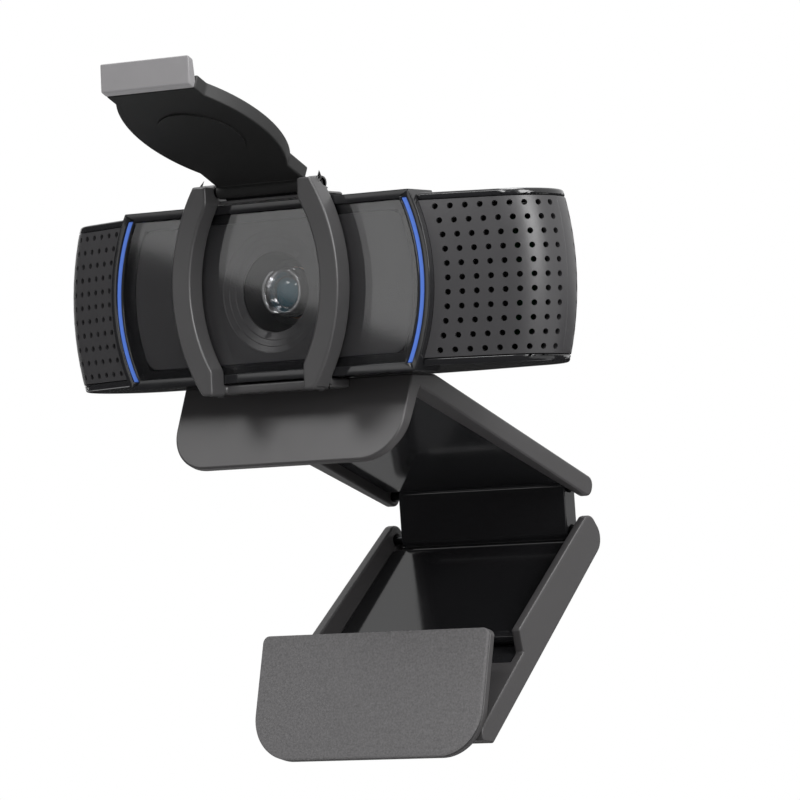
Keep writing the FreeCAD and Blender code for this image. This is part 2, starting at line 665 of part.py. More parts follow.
def arm(label, side):
    """One curved arm: the gap between two arcs, cut off above, below and inside."""
    sign = "" if side > 0 else "0 - "
    outer = rod(label + "_outer", "Y", "arm_outer_radius", "0 - arm_front", "0 - arm_back",
                (sign + "arm_outer_centre", "arm_centre_z"))
    inner = rod(label + "_inner", "Y", "arm_inner_radius", "0 - arm_front - 1", "1",
                (sign + "arm_inner_centre", "arm_centre_z"))
    bounds = ("arm_inset", FAR) if side > 0 else ("0 - " + FAR, "0 - arm_inset")
    keep = box(label + "_keep", bounds, ("0 - arm_front", "0 - arm_back"), ("0 - arm_bottom", "arm_top"))
    return common(label, cut(label + "_ring", outer, inner), keep)


hook_top = "pod_height/2 + hook_gap"
hook_low = "0 - pod_height/2 - hook_gap"
frame_pieces = []
pin_bores = []
for name, side in (("right", 1), ("left", -1)):
    near, far = ("arm_inset", "hook_side") if side > 0 else ("0 - hook_side", "0 - arm_inset")
    frame_pieces.append(arm("arm_" + name, side))
    frame_pieces.append(box("top_hook_" + name, (near, far), ("0 - arm_back", "hook_reach"),
                            (hook_top, hook_top + " + hook_thick")))
    frame_pieces.append(box("foot_hook_" + name, (near, far), ("0 - arm_back", "hook_reach"),
                            (hook_low + " - foot_hook_thick", hook_low)))
    frame_pieces.append(rod("lug_" + name, "X", "flap_barrel", near, far, ("flap_y", "flap_z")))
    frame_pieces.append(box("lug_stand_" + name, (near, far), ("flap_y - flap_barrel", "flap_y + flap_barrel"),
                            (hook_top, "flap_z")))
    pin_bores.append(rod("lug_bore_" + name, "X", "flap_pin + fit_gap/2", near + " - 1", far + " + 1",
                         ("flap_y", "flap_z")))
frame_pieces.append(box("top_bar", ("0 - arm_inset", "arm_inset"), ("0 - arm_back", "hook_reach"),
                        (hook_top, hook_top + " + top_bar_thick")))
frame_pieces.append(box("bottom_bar", ("0 - arm_inset", "arm_inset"), ("0 - arm_back + low_bar_set", "hook_reach"),
                        (hook_low + " - foot_hook_thick", hook_low)))
node("shutter_frame", cut("shutter_frame_solid", fuse("shutter_whole", frame_pieces),
                          fuse("shutter_bores", pin_bores)))
node("shutter_pin", rod("shutter_pin_solid", "X", "flap_pin", "0 - hook_side", "hook_side",
                        ("flap_y", "flap_z")))


def on_flap(item):
    return place(item, ("0", "flap_y", "flap_z"), (1, 0, 0), "flap_turn")


flap = body("flap_body")
flap_plan = sketch(flap, "XY_Plane", "flap_plan", "0 - flap_inner")
outline(flap_plan, [
    ("flap_half", "flap_root"),
    ("flap_half", "flap_mid - flap_bow", "flap_side_radius", 1),
    ("flap_half", "flap_mid + flap_bow"),
    ("flap_half", "flap_length"),
    ("0 - flap_half", "flap_length"),
    ("0 - flap_half", "flap_mid + flap_bow", "flap_side_radius", 1),
    ("0 - flap_half", "flap_mid - flap_bow"),
    ("0 - flap_half", "flap_root"),
])
pad(flap, flap_plan, "flap_skin + flap_rim", both=False, reverse=True)
flap_dish = sketch(flap, "XY_Plane", "flap_dish", "0 - flap_inner - flap_skin - flap_rim")
outline(flap_dish, [
    ("rim_half", "2"),
    ("rim_half", "flap_mid - rim_bow", "rim_radius", 1),
    ("rim_half", "flap_mid + rim_bow"),
    ("rim_half", "flap_length + 2"),
    ("0 - rim_half", "flap_length + 2"),
    ("0 - rim_half", "flap_mid + rim_bow", "rim_radius", 1),
    ("0 - rim_half", "flap_mid - rim_bow"),
    ("0 - rim_half", "2"),
])
pocket(flap, flap_dish, "flap_rim", both=False, reverse=True)
flap_knuckle = sketch(flap, "YZ_Plane", "flap_knuckle")
circle(flap_knuckle, "flap_barrel", ("0", "0"))
pad(flap, flap_knuckle, "2*flap_half")
flap_bore = sketch(flap, "YZ_Plane", "flap_bore")
circle(flap_bore, "flap_pin + pin_play", ("0", "0"))
pocket(flap, flap_bore, "2*flap_half + 4")
node("shutter_flap", on_flap(flap))

grip = body("grip_body")
grip_side = sketch(grip, "YZ_Plane", "grip_side")
outline(grip_side, [
    ("flap_length", "0 - flap_inner"),
    ("flap_length + grip_thick", "0 - flap_inner"),
    ("flap_length + grip_thick + grip_lean", "0 - grip_height"),
    ("flap_length + grip_lean", "0 - grip_height"),
    ("flap_length", "0 - flap_inner - flap_skin"),
])
pad(grip, grip_side, "2*flap_half")
node("flap_grip", on_flap(grip))

flap_felt = body("flap_liner_solid")
felt_plan = sketch(flap_felt, "XY_Plane", "felt_plan", "0 - flap_inner + fit_gap/5")
circle(felt_plan, "flap_liner_radius", ("0", "flap_mid"))
pad(flap_felt, felt_plan, "flap_liner_thick", both=False)
node("flap_liner", on_flap(flap_felt))

# --- head: centre bezel, window, light strips and panel --------------------

bezel_front = "0 - bezel_proud"
bezel_outer = barrel_slab("bezel_outer", "pod_radius", "pod_height/2", bezel_front, "bezel_depth")
bezel_room = barrel_slab("bezel_room", "strip_outer + fit_gap", "pod_height/2 - bezel_wall",
                         "bezel_face", "bezel_depth + 1")
window_room = barrel_slab("window_room", "window_radius + fit_gap", "window_height/2 + fit_gap",
                          "0 - 1", "bezel_face + 1")


def arc_ring(label, inner, outer, half, front, back):
    """A flat ring about the optical axis, cut off above and below."""
    whole = rod(label + "_whole", "Y", outer, front, back)
    middle = rod(label + "_middle", "Y", inner, front + " - 1", back + " + 1")
    slab = box(label + "_slab", (minus(outer), outer), (front, back), (minus(half), half))
    return common(label, cut(label + "_open", whole, middle), slab)


def right_half(label, item, front, back):
    return common(label, item, box(label + "_side", ("0", FAR), (front, back), ("0 - " + FAR, FAR)))


def left_half(label, item, front, back):
    return common(label, item, box(label + "_side", ("0 - " + FAR, "0"), (front, back), ("0 - " + FAR, FAR)))


strip_room = arc_ring("strip_room", "strip_inner - fit_gap", "strip_outer + fit_gap",
                      "strip_height/2 + fit_gap", "0 - 1", "bezel_face + 1")
bezel_open = cut("bezel_open", bezel_outer, fuse("bezel_rooms", [bezel_room, window_room, strip_room]))
node("front_bezel", bezel_open)

node("window", barrel_slab("window_solid", "window_radius", "window_height/2", "0", "window_thick"))

strips = arc_ring("strips", "strip_inner", "strip_outer", "strip_height/2", "0 - strip_proud", "strip_back")
node("light_strip_right", right_half("strip_right", strips, "0 - 1", "strip_back + 1"))
node("light_strip_left", left_half("strip_left", strips, "0 - 1", "strip_back + 1"))

light_boards = arc_ring("light_boards", "light_board_inner", "strip_outer", "strip_height/2",
                        "strip_back + fit_gap", "strip_back + fit_gap + light_board_thick")
node("light_board_right", right_half("board_right", light_boards, "0", "strip_back + 3"))
node("light_board_left", left_half("board_left", light_boards, "0", "strip_back + 3"))

panel_front = "window_thick + fit_gap"
panel_back = "window_thick + fit_gap + panel_thick"
panel_blank = barrel_slab("panel_blank", "panel_radius", "panel_height/2", panel_front, panel_back)
doc.recompute()
panel_edges = [k + 1 for k, edge in enumerate(panel_blank.Shape.Edges) if along(edge, Y_AXIS)]


def rounded(label, base, edges, radius):
    """Round the listed edges of a solid."""
    item = doc.addObject("Part::Fillet", label)
    item.Base = base
    item.Edges = [(index, number(radius), number(radius)) for index in edges]
    return item


panel_round = rounded("panel_round", panel_blank, panel_edges, "panel_corner")
ring_tools = [rod("ring_bore_tool", "Y", "ring_bore", "0", "bezel_depth")]
for step in range(3):
    ring_tools.append(rod("ring_tool_%d" % step, "Y", "ring_outer - %d*ring_step" % step, "0",
                          panel_front + " + %d*ring_drop" % (step + 1)))
node("inner_panel", cut("panel_solid", panel_round, fuse("ring_tools", ring_tools)))

border_blank = barrel_slab("border_blank", "window_radius", "window_height/2", panel_front, panel_back)
border_room = barrel_slab("border_room", "panel_radius + fit_gap", "panel_height/2 + fit_gap",
                          "0", panel_back + " + 1")
node("window_border", cut("border_solid", border_blank, border_room))

# --- head: lens group -------------------------------------------------------

hood_front = panel_back + " + fit_gap"
node("lens_hood", turned("lens_hood_solid", [
    ("hood_mouth", hood_front),
    ("hood_outer", hood_front),
    ("hood_outer", hood_front + " + hood_wall"),
    ("hood_mouth + hood_wall", hood_front + " + hood_wall"),
    ("hood_throat + hood_wall", hood_front + " + hood_length"),
    ("hood_throat", hood_front + " + hood_length"),
]))

barrel_back = "barrel_front + barrel_length"
barrel_turned = turned("barrel_turned", [
    ("barrel_mouth", "barrel_front"),
    ("barrel_radius", "barrel_front"),
    ("barrel_radius", barrel_back),
    ("rear_lens_radius + fit_gap", barrel_back),
    ("rear_lens_radius + fit_gap", barrel_back + " - rear_lens_thick"),
    ("barrel_bore - rear_lens_ledge", barrel_back + " - rear_lens_thick"),
    ("barrel_bore - rear_lens_ledge", "barrel_front + cone_depth + lens_edge"),
    ("barrel_bore + fit_gap", "barrel_front + cone_depth + lens_edge"),
    ("barrel_bore + fit_gap", "barrel_front + cone_depth"),
    ("barrel_throat", "barrel_front + cone_depth"),
])
barrel_flats = box("barrel_flats", ("0 - barrel_radius - 1", "barrel_radius + 1"),
                   ("0", "barrel_front + cone_depth + 1"), ("0 - barrel_flat", "barrel_flat"))
barrel_rest = box("barrel_rest", ("0 - barrel_radius - 1", "barrel_radius + 1"),
                  ("barrel_front + cone_depth", FAR), ("0 - barrel_radius - 1", "barrel_radius + 1"))
barrel_keep = fuse("barrel_keep", [barrel_flats, barrel_rest])
node("lens_barrel", common("lens_barrel_solid", barrel_turned, barrel_keep))

lens_seat = "barrel_front + cone_depth + lens_edge"
node("front_lens", turned("front_lens_solid", [
    ("0", lens_seat + " - fit_gap"),
    ("0", "barrel_front + cone_depth - lens_dome", "lens_curve", 1),
    ("barrel_bore", "barrel_front + cone_depth"),
    ("barrel_bore", lens_seat + " - fit_gap"),
]))
node("rear_lens", turned("rear_lens_solid", [
    ("0", barrel_back),
    ("0", barrel_back + " - rear_lens_thick + fit_gap"),
    ("rear_lens_radius", barrel_back + " - rear_lens_thick + fit_gap"),
    ("rear_lens_radius", barrel_back),
]))
coil_front = "holder_front + holder_wall + coil_gap"
coil_ring = cut("coil_ring", rod("coil_outer", "Y", "coil_radius", coil_front, coil_front + " + coil_length"),
                rod("coil_bore", "Y", "barrel_radius + fit_gap", "holder_front", "holder_front + 9"))
node("focus_coil", coil_ring)

holder_back = "holder_front + holder_length"
holder_half = "holder_size/2"
holder_blank = box("holder_blank", (minus(holder_half), holder_half), ("holder_front", holder_back),
                   (minus(holder_half), holder_half))
holder_bore = rod("holder_bore", "Y", "barrel_radius + focus_gap", "holder_front - 1", holder_back + " + 1")
holder_room = rod("holder_room", "Y", "coil_radius + focus_gap", "holder_front + holder_wall", holder_back + " + 1")
node("lens_holder", cut("lens_holder_solid", holder_blank, fuse("holder_tools", [holder_bore, holder_room])))

filter_front = holder_back + " + fit_gap"
sensor_board_front = holder_back + " + 2*fit_gap + filter_thick + chip_thick + chip_gap"
node("infrared_filter", box("infrared_filter_solid", ("0 - holder_size/2", "holder_size/2"),
                            (filter_front, filter_front + " + filter_thick"),
                            ("0 - holder_size/2", "holder_size/2")))
node("image_sensor", box("image_sensor_solid", ("0 - chip_size/2", "chip_size/2"),
                         (sensor_board_front + " - chip_thick", sensor_board_front),
                         ("0 - chip_size/2", "chip_size/2")))

# --- head: boards, inner frame, microphones ---------------------------------

posts = [(x, z) for x in ("post_x", "0 - post_x") for z in ("post_z", "0 - post_z")]
node("sensor_board", box("sensor_board_solid", ("0 - sensor_board_width/2", "sensor_board_width/2"),
                         (sensor_board_front, sensor_board_front + " + board_thick"),
                         ("0 - board_height/2", "board_height/2")))
spacers = [(x, z) for x in ("spacer_x", "0 - spacer_x") for z in ("spacer_z", "0 - spacer_z")]
spacer_rods = [rod("spacer_%d" % k, "Y", "spacer_radius", sensor_board_front + " + board_thick",
                   "main_board_front", at) for k, at in enumerate(spacers)]
node("board_spacers", fuse("board_spacers_solid", spacer_rods))

main_blank = box("main_blank", ("0 - main_board_width/2", "main_board_width/2"),
                 ("main_board_front", "main_board_front + board_thick"),
                 ("0 - board_height/2", "board_height/2"))
main_holes = [rod("main_hole_%d" % k, "Y", "screw_radius + fit_gap", "main_board_front - 1",
                  "main_board_front + 3", at) for k, at in enumerate(posts)]
node("main_board", cut("main_board_solid", main_blank, fuse("main_holes", main_holes)))

processor_front = "main_board_front + board_thick"
spreader_front = processor_front + " + processor_thick + fit_gap"
node("image_processor", box("image_processor_solid", ("0 - processor_size/2", "processor_size/2"),
                            (processor_front, processor_front + " + processor_thick"),
                            ("0 - processor_size/2", "processor_size/2")))
node("heat_spreader", box("heat_spreader_solid", ("0 - spreader_width/2", "spreader_width/2"),
                          (spreader_front, spreader_front + " + spreader_thick"),
                          ("0 - spreader_height/2", "spreader_height/2")))

frame_plate = barrel_slab("frame_plate", "strip_outer - fit_gap", "pod_height/2 - bezel_wall - fit_gap",
                          "frame_front", "frame_front + frame_thick")
frame_posts = [rod("frame_post_%d" % k, "Y", "post_radius", "frame_front + frame_thick",
                   "main_board_front", at) for k, at in enumerate(posts)]
frame_tools = [rod("frame_bore", "Y", "hood_outer + fit_gap", "frame_front - 1", "frame_front + 3")]
frame_tools += [rod("post_bore_%d" % k, "Y", "screw_radius + fit_gap",
                    "main_board_front - screw_reach - 0.5", "main_board_front + 1", at)
                for k, at in enumerate(posts)]
frame_whole = fuse("frame_whole", [frame_plate] + frame_posts)
node("inner_frame", cut("inner_frame_solid", frame_whole, fuse("frame_tools", frame_tools)))

screw_solids = []
for k, at in enumerate(posts):
    screw_solids.append(rod("screw_shank_%d" % k, "Y", "screw_radius", "main_board_front - screw_reach",
                            "head_depth + fit_gap", at))
    screw_solids.append(rod("screw_head_%d" % k, "Y", "screw_head_radius", "head_depth + fit_gap",
                            "head_depth + fit_gap + screw_head_thick", at))
node("case_screws", fuse("case_screws_solid", screw_solids))

boot_radius = "mic_radius + fit_gap + boot_wall"
for name, at in (("right", "mic_x"), ("left", "0 - mic_x")):
    node("microphone_" + name, rod("mic_%s_solid" % name, "Y", "mic_radius", "mic_front",
                                   "mic_front + mic_length", (at, "0")))
    boot_blank = rod("boot_%s_blank" % name, "Y", boot_radius, "mic_front - boot_lip",
                     "main_board_front - fit_gap", (at, "0"))
    boot_seat = rod("boot_%s_seat" % name, "Y", "mic_radius + fit_gap", "mic_front - 3",
                    "mic_front + mic_length + fit_gap", (at, "0"))
    node("mic_boot_" + name, cut("boot_%s_solid" % name, boot_blank, boot_seat))

inlet_body = rod("inlet_body", "Y", "inlet_radius", "head_depth + inlet_stand - inlet_length",
                 "head_depth + inlet_stand", ("0", "0 - inlet_z"))
inlet_rim = rod("inlet_rim", "Y", "inlet_flange", "head_depth + fit_gap", "head_depth + inlet_stand",
                ("0", "0 - inlet_z"))
inlet_hole = rod("inlet_hole", "Y", "inlet_bore", "head_depth - inlet_length",
                 "head_depth + inlet_stand + 1", ("0", "0 - inlet_z"))
node("cable_inlet", cut("cable_inlet_solid", fuse("inlet_whole", [inlet_body, inlet_rim]), inlet_hole))

# --- head tilt hinge ---------------------------------------------------------

neck_low = "0 - slab_half"
neck_plate = box("neck_plate", ("0 - neck_plate_half", "neck_plate_half"),
                 ("neck_plate_front", "neck_plate_back"), (neck_low, neck_low + " + neck_plate_thick"))
neck_web = box("neck_web", ("0 - neck_half", "neck_half"), ("tilt_y - neck_web", "tilt_y + neck_web"),
               ("tilt_z", neck_low))
neck_barrel = rod("neck_barrel", "X", "tilt_barrel", "0 - neck_half", "neck_half", ("tilt_y", "tilt_z"))
neck_bore = rod("neck_bore", "X", "tilt_pin + pin_play", "0 - neck_half - 1", "neck_half + 1",
                ("tilt_y", "tilt_z"))
neck_screw_at = [("neck_screw_x", "neck_screw_y"), ("0 - neck_screw_x", "neck_screw_y")]
neck_holes = [rod("neck_hole_%d" % k, "Z", "neck_screw_radius + fit_gap", neck_low + " - 1", neck_low + " + 3", at)
              for k, at in enumerate(neck_screw_at)]
neck_whole = fuse("neck_whole", [neck_plate, neck_web, neck_barrel])
node("neck_bracket", cut("neck_bracket_solid", neck_whole, fuse("neck_tools", [neck_bore] + neck_holes)))

neck_screws = []
for k, at in enumerate(neck_screw_at):
    neck_screws.append(rod("neck_shank_%d" % k, "Z", "neck_screw_radius", neck_low,
                           neck_low + " + neck_plate_thick + fit_gap", at))
    neck_screws.append(rod("neck_head_%d" % k, "Z", "neck_screw_head",
                           neck_low + " + neck_plate_thick + fit_gap",
                           neck_low + " + neck_plate_thick + fit_gap + 0.8", at))
node("neck_screws", fuse("neck_screws_solid", neck_screws))

node("tilt_pin", rod("tilt_pin_solid", "X", "tilt_pin", "0 - tilt_pin_half", "tilt_pin_half",
                     ("tilt_y", "tilt_z")))
washers = []
for k, (start, end) in enumerate((("neck_half + fit_gap", "neck_half + fit_gap + washer_thick"),
                                  ("0 - neck_half - fit_gap - washer_thick", "0 - neck_half - fit_gap"))):
    disc = rod("washer_disc_%d" % k, "X", "tilt_barrel", start, end, ("tilt_y", "tilt_z"))
    hole = rod("washer_hole_%d" % k, "X", "tilt_pin + pin_play", start + " - 1", end + " + 1",
               ("tilt_y", "tilt_z"))
    washers.append(cut("washer_%d" % k, disc, hole))
node("tilt_washers", fuse("tilt_washers_solid", washers))

# --- head: wings, covers and rear shell ------------------------------------

def wing_half(label, corners):
    """A thin skin swept about the optical axis, cut off at the covers."""
    skin = turned(label + "_skin", corners, 100.0)
    slab = box(label + "_band", ("0", FAR), ("0 - 5", "head_depth + 5"), ("0 - slab_half", "slab_half"))
    return common(label, skin, slab)


seam_y = "end_y - fit_gap"
grille_corners = [
    ("grille_edge_x", "grille_edge_y"),
    ("tangent_x", "tangent_y", "end_radius", 1),
    ("head_width/2", "end_y"),
    ("head_width/2 - wall", "end_y", "end_radius - wall", -1),
    ("inner_tangent_x", "inner_tangent_y"),
    ("grille_edge_x", "grille_edge_in"),
]
cloth_corners = [
    ("grille_edge_x", "cloth_edge_y"),
    ("inner_tangent_x", "inner_tangent_y + fit_gap"),
    ("inner_tangent_x", "inner_tangent_y + fit_gap + cloth_thick"),
    ("grille_edge_x", "cloth_back_y"),
]


def profile_point(travel):
    """Radius, depth and outward direction on the wing, a distance from its inner edge."""
    slope = math.radians(size("wing_slope"))
    straight = (size("tangent_x") - size("pod_radius")) / math.cos(slope)
    if travel <= straight:
        radius = size("pod_radius") + travel * math.cos(slope)
        return radius, size("wing_start") + travel * math.sin(slope), slope
    turn = slope + (travel - straight) / size("end_radius")
    radius = size("end_x") + size("end_radius") * math.sin(turn)
    return radius, size("end_y") - size("end_radius") * math.cos(turn), turn


def hole_tools(travels, side):
    """One short cylinder for each perforation, square to the skin."""
    tools = []
    rows = int(size("row_total"))
    reach = size("wall") + 1.0
    for travel in travels:
        radius, depth, turn = profile_point(travel)
        for row in range(rows):
            height = (row - (rows - 1) / 2) * size("row_pitch")
            across = math.sqrt(radius ** 2 - height ** 2)
            outward = Vector(side * math.sin(turn) * across / radius, -math.cos(turn),
                             math.sin(turn) * height / radius)
            start = Vector(side * across, depth, height) + outward * 0.5
            tools.append(Part.makeCylinder(size("hole_radius"), reach, start, outward * -1))
    return Part.makeCompound(tools)


def perforated(label, blank, travels, side):
    """The skin with its perforations: a shape of its own, cut in one pass."""
    doc.recompute()
    item = doc.addObject("Part::Feature", label)
    item.Shape = blank.Shape.cut(hole_tools(travels, side))
    return item


front_travels = [size("hole_start") + k * size("hole_pitch") for k in range(int(size("front_columns")))]
slope_radians = math.radians(size("wing_slope"))
seam_travel = ((size("tangent_x") - size("pod_radius")) / math.cos(slope_radians)
               + size("end_radius") * (math.pi / 2 - slope_radians))
rear_travels = [seam_travel + size("rear_column_at")]

grille_blank = wing_half("grille_blank", grille_corners)
grille_right = perforated("grille_right_solid", grille_blank, front_travels, 1)
node("grille_right", grille_right)


def mirrored(label, source):
    item = doc.addObject("Part::Mirroring", label)
    item.Source = source
    item.Normal = X_AXIS
    return item


node("grille_left", mirrored("grille_left_solid", grille_right))
cloth_right = wing_half("cloth_right_solid", cloth_corners)
node("grille_cloth_right", cloth_right)
node("grille_cloth_left", mirrored("cloth_left_solid", cloth_right))

shell_corners = [
    ("head_width/2", "end_y + fit_gap", "end_radius", 1),
    ("end_x", "end_y + end_radius"),
    ("back_flat_radius", "head_depth"),
    ("0", "head_depth"),
    ("0", "head_depth - wall"),
    ("back_flat_radius", "head_depth - wall"),
    ("end_x", "end_y + end_radius - wall", "end_radius - wall", -1),
    ("head_width/2 - wall", "end_y + fit_gap"),
]
shell_skin = turned("shell_skin", shell_corners)
shell_band = box("shell_band", ("0 - " + FAR, FAR), ("0", FAR), ("0 - slab_half", "slab_half"))
shell_blank = common("shell_blank", shell_skin, shell_band)
shell_right = perforated("shell_right_holes", shell_blank, rear_travels, 1)
shell_holed = perforated("shell_left_holes", shell_right, rear_travels, -1)

shell_tools = []
for k, (x, z) in enumerate(posts):
    shell_tools.append(rod("screw_room_%d" % k, "Y", "screw_radius + fit_gap", "head_depth - wall - 1",
                           "head_depth + 1", (x, z)))
shell_tools.append(rod("inlet_room", "Y", "inlet_radius + fit_gap", "head_depth - wall - 1",
                       "head_depth + 1", ("0", "0 - inlet_z")))
node("rear_shell", cut("rear_shell_solid", shell_holed, fuse("shell_tools", shell_tools)))

head_corners = [
    ("0", "0"),
    ("grille_edge_x", "grille_edge_y"),
    ("tangent_x", "tangent_y", "end_radius", 1),
    ("end_x", "end_y + end_radius"),
    ("back_flat_radius", "head_depth"),
    ("0", "head_depth"),
]
head_solid = turned("head_solid", head_corners)
pod_room = barrel_slab("pod_room", "pod_radius + fit_gap", "pod_height/2 + 1", "0 - 1", "bezel_depth + fit_gap")
neck_room = box("neck_room", ("0 - neck_half - fit_gap", "neck_half + fit_gap"),
                ("tilt_y - neck_web - fit_gap", "tilt_y + neck_web + fit_gap"),
                ("0 - wing_height", "0"))
cover_bounds = {"top_cover": ("slab_half + fit_gap", "wing_height/2"),
                "bottom_cover": ("0 - wing_height/2", "0 - slab_half - fit_gap")}
for name, bounds in cover_bounds.items():
    band = box(name + "_band", ("0 - " + FAR, FAR), ("0 - 5", FAR), bounds)
    cover = cut(name + "_open", common(name + "_blank", head_solid, band), pod_room)
    if name == "bottom_cover":
        cover = cut(name + "_solid", cover, neck_room)
    node(name, cover)

# --- checks and export -------------------------------------------------------

doc.recompute()
for item in doc.Objects:
    if "Invalid" in item.State or "Error" in item.State:
        raise RuntimeError("%s failed: %s" % (item.Name, item.State))
os.makedirs("parts", exist_ok=True)
for name, item in nodes.items():
    shape = item.Shape
    if shape.isNull() or not shape.isValid() or shape.Volume <= 0:
        raise RuntimeError(name + " has no valid solid")
    shape.exportStep("parts/%s.step" % name)
    print("%-20s solids %d  volume %.1f" % (name, len(shape.Solids), shape.Volume))
print(len(nodes), "nodes")
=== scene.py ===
import json
import math

import bmesh
import bpy
from mathutils import Matrix, Vector


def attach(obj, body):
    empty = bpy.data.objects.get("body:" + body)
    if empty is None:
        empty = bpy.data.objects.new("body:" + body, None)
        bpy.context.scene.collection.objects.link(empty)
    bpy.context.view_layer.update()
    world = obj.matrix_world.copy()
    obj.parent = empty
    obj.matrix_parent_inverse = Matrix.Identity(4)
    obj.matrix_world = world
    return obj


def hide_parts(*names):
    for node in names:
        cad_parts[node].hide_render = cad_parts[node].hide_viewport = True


# Webcam with perforated ends, a flip-up privacy shutter and a folding display
# clip.  X is the width, the front looks along -Y and Z is up, all in metres.

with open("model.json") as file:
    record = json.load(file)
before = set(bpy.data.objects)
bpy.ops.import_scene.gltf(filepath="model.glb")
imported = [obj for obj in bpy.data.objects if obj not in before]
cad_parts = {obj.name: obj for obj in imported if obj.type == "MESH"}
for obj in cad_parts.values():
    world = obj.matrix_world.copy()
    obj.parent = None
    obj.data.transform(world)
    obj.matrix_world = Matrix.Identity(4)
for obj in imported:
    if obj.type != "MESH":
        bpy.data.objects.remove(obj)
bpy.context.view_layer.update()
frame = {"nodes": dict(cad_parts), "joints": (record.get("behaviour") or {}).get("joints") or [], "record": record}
mm = 0.001

sensor_width = 36.0  # mm
image_width = 800.0  # px
focal_px = 6176.8

# ---- camera ------------------------------------------------------------------
# A long lens from the front right, a little below the middle of the webcam.

turn, rise, roll = math.radians(35.36), math.radians(-2.49), math.radians(-2.12)
back = Vector((math.sin(turn) * math.cos(rise), -math.cos(turn) * math.cos(rise), math.sin(rise)))
right = Vector((math.cos(turn), math.sin(turn), 0.0))
up = back.cross(right)
c, s = math.cos(roll), math.sin(roll)
cam_x = c * right + s * up
cam_y = c * up - s * right
place = (20.48 * cam_x - 16.96 * cam_y + 962.1 * back) * mm
camera = bpy.data.objects.new("camera", bpy.data.cameras.new("camera"))
camera.data.lens = sensor_width * focal_px / image_width
camera.data.clip_start = 0.05
camera.data.clip_end = 20.0
camera.matrix_world = Matrix.Translation(place) @ Matrix((cam_x, cam_y, back)).transposed().to_4x4()
bpy.context.scene.collection.objects.link(camera)
bpy.context.scene.camera = camera
bpy.context.scene.view_settings.view_transform = "Standard"

# ---- studio ------------------------------------------------------------------
# A white room: four soft boxes, dark cards that keep the polished faces black,
# two pale cards for the reflections, and a floor that the camera doesn't see.

world = bpy.data.worlds.new("studio")
world.use_nodes = True
bpy.context.scene.world = world
tree = world.node_tree
tree.nodes.clear()
out = tree.nodes.new("ShaderNodeOutputWorld")
shown = tree.nodes.new("ShaderNodeBackground")
shown.inputs["Color"].default_value = (1, 1, 1, 1)
shown.inputs["Strength"].default_value = 1.0
fill = tree.nodes.new("ShaderNodeBackground")
fill.inputs["Color"].default_value = (1, 1, 1, 1)
fill.inputs["Strength"].default_value = 0.45
path = tree.nodes.new("ShaderNodeLightPath")
seen = tree.nodes.new("ShaderNodeMath")
seen.operation = "MAXIMUM"
tree.links.new(path.outputs["Is Camera Ray"], seen.inputs[0])
clear = tree.nodes.new("ShaderNodeMath")
clear.operation = "MAXIMUM"
tree.links.new(path.outputs["Is Transmission Ray"], clear.inputs[0])
tree.links.new(path.outputs["Is Glossy Ray"], clear.inputs[1])
tree.links.new(clear.outputs[0], seen.inputs[1])
choose = tree.nodes.new("ShaderNodeMixShader")
tree.links.new(seen.outputs[0], choose.inputs[0])
tree.links.new(fill.outputs[0], choose.inputs[1])
tree.links.new(shown.outputs[0], choose.inputs[2])
tree.links.new(choose.outputs[0], out.inputs["Surface"])


def soft_box(name, at, look, size_x, size_y, power):
    lamp = bpy.data.lights.new(name, "AREA")
    lamp.shape = "RECTANGLE"
    lamp.size = size_x
    lamp.size_y = size_y
    lamp.energy = power
    item = bpy.data.objects.new(name, lamp)
    item.location = at
    item.rotation_mode = "QUATERNION"
    item.rotation_quaternion = (Vector(look) - Vector(at)).to_track_quat("-Z", "Y")
    item.visible_camera = False
    bpy.context.scene.collection.objects.link(item)
    return item


middle = Vector((0.0, 0.02, -0.02))  # of the webcam
soft_box("key", (-0.35, -0.50, 0.60), middle, 0.3, 0.3, 2.4)
soft_box("side", (0.62, -0.22, 0.26), middle, 0.25, 0.4, 3.6)
soft_box("near", (0.10, -0.20, 0.17), (0.03, 0.01, 0.0), 0.12, 0.05, 0.20)
soft_box("top", (0.05, 0.05, 0.9), middle, 0.6, 0.3, 9.0)


def card(name, centre, look, width, height, shade, lean=0.0):
    """A card that only polished surfaces see, turned in its own plane by lean degrees."""
    mesh = bpy.data.meshes.new(name)
    bm = bmesh.new()
    bmesh.ops.create_grid(bm, x_segments=1, y_segments=1, size=0.5)
    bmesh.ops.scale(bm, vec=(width, height, 1), verts=bm.verts)
    spin = (Vector(look) - Vector(centre)).to_track_quat("-Z", "Y").to_matrix().to_4x4()
    bm.transform(Matrix.Translation(centre) @ spin @ Matrix.Rotation(math.radians(lean), 4, "Z"))
    bm.to_mesh(mesh)
    bm.free()
    item = bpy.data.objects.new(name, mesh)
    bpy.context.scene.collection.objects.link(item)
    paint = bpy.data.materials.new(name)
    paint.use_nodes = True
    paint.node_tree.nodes.clear()
    glow = paint.node_tree.nodes.new("ShaderNodeEmission")
    glow.inputs["Color"].default_value = (shade, shade, shade, 1)
    end = paint.node_tree.nodes.new("ShaderNodeOutputMaterial")
    paint.node_tree.links.new(glow.outputs[0], end.inputs["Surface"])
    mesh.materials.append(paint)
    item.visible_camera = False
    item.visible_diffuse = False
    item.visible_shadow = False
    item.visible_transmission = False
    return item


